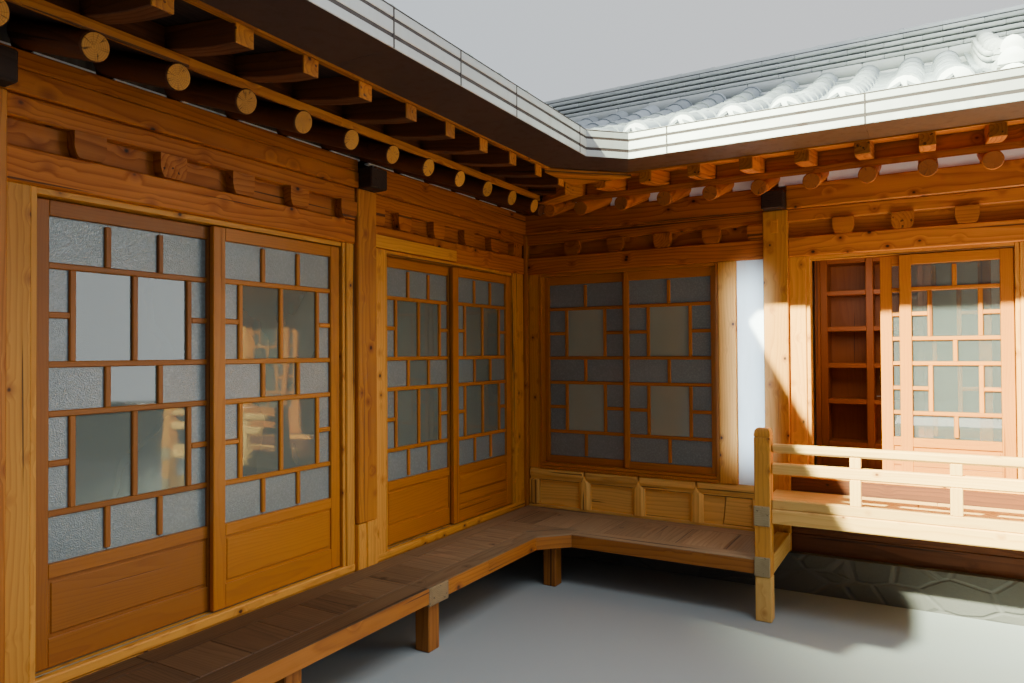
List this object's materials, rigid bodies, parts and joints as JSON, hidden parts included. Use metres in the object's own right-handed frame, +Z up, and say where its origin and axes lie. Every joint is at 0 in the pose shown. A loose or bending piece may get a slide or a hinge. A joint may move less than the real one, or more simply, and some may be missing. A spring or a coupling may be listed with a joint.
{
  "type": "traditional tiled timber courtyard house",
  "caption": "L-shaped tiled timber house around a courtyard corner, with sliding lattice doors, a bench along the walls and a railed deck.",
  "frame": {"origin": "on the ground, at the inner corner where the courtyard faces of the two wings meet", "axes": "+Z up, +X along the north wing away from the corner, -Y along the west wing away from the corner"},
  "size_m": [8.42, 8.965, 4.8],
  "materials": {
    "pine": "oiled",
    "shaded_pine": "oiled",
    "red_pine": "satin",
    "bench_wood": "worn",
    "beam_heads": "painted matt",
    "floor_boards": "satin",
    "plaster": "lime plaster, matt",
    "stone": "rough masonry",
    "roof_tile": "weathered fired clay",
    "gutter_metal": "satin",
    "soffit_metal": "satin",
    "glass": "patterned and clear"
  },
  "bodies": {
    "house": {"stone_plinth": "stone", "column_south": "pine", "column_west": "pine", "column_corner": "pine", "column_north": "pine", "column_east": "pine", "room_floor": "floor_boards", "deck_room_floor": "floor_boards", "frieze_west_south": "pine", "frieze_west_north": "pine", "frieze_north_west": "shaded_pine", "frieze_north_east": "pine", "cross_beam_west": "beam_heads", "cross_beam_north": "beam_heads", "outer_frame_west": "pine", "outer_frame_north": "pine", "back_purlin_west": "pine", "back_purlin_north": "pine", "roof_tiles_west": "roof_tile", "roof_tiles_north": "roof_tile", "rafters_west": "pine", "rafters_north": "pine", "valley_rafter": "shaded_pine", "hip_rafter": "pine", "roof_ridges": "roof_tile", "barge_board_south": "pine", "barge_board_east": "pine", "outer_wall_west": "plaster", "outer_wall_north": "plaster", "door_frame_west_south": "pine", "door_frame_west_north": "pine", "door_frame_deck": "pine", "window_frame": "red_pine", "plaster_strip": "plaster", "window_base": "pine", "window_sash_left": "red_pine", "window_sash_right": "red_pine", "window_glass_left": "glass", "window_glass_right": "glass", "shelf_rack": "shaded_pine", "bench_base": "red_pine", "bench_boards": "bench_wood", "deck_base": "pine", "deck_boards": "pine", "deck_railing": "pine", "gutter": "gutter_metal", "eave_soffit": "soffit_metal"},
    "door_1_leaf": {"door_1": "red_pine", "door_1_glass": "glass"},
    "door_2_leaf": {"door_2": "red_pine", "door_2_glass": "glass"},
    "door_3_leaf": {"door_3": "red_pine", "door_3_glass": "glass"},
    "door_4_leaf": {"door_4": "red_pine", "door_4_glass": "glass"},
    "deck_door_1_leaf": {"deck_door_1": "red_pine", "deck_door_1_glass": "glass"},
    "deck_door_2_leaf": {"deck_door_2": "red_pine", "deck_door_2_glass": "glass"}
  },
  "joints": [
    {"name": "door_1_slide", "type": "slide", "parent": "house", "child": "door_1_leaf", "axis": [0, 1, 0], "range_m": [0, 0.88]},
    {"name": "door_2_slide", "type": "slide", "parent": "house", "child": "door_2_leaf", "axis": [0, -1, 0], "range_m": [0, 0.88]},
    {"name": "door_3_slide", "type": "slide", "parent": "house", "child": "door_3_leaf", "axis": [0, 1, 0], "range_m": [0, 0.84]},
    {"name": "door_4_slide", "type": "slide", "parent": "house", "child": "door_4_leaf", "axis": [0, -1, 0], "range_m": [0, 0.84]},
    {"name": "deck_door_1_slide", "type": "slide", "parent": "house", "child": "deck_door_1_leaf", "axis": [1, 0, 0], "range_m": [-0.484, 0.12]},
    {"name": "deck_door_2_slide", "type": "slide", "parent": "house", "child": "deck_door_2_leaf", "axis": [-1, 0, 0], "range_m": [0, 0.6]}
  ]
}
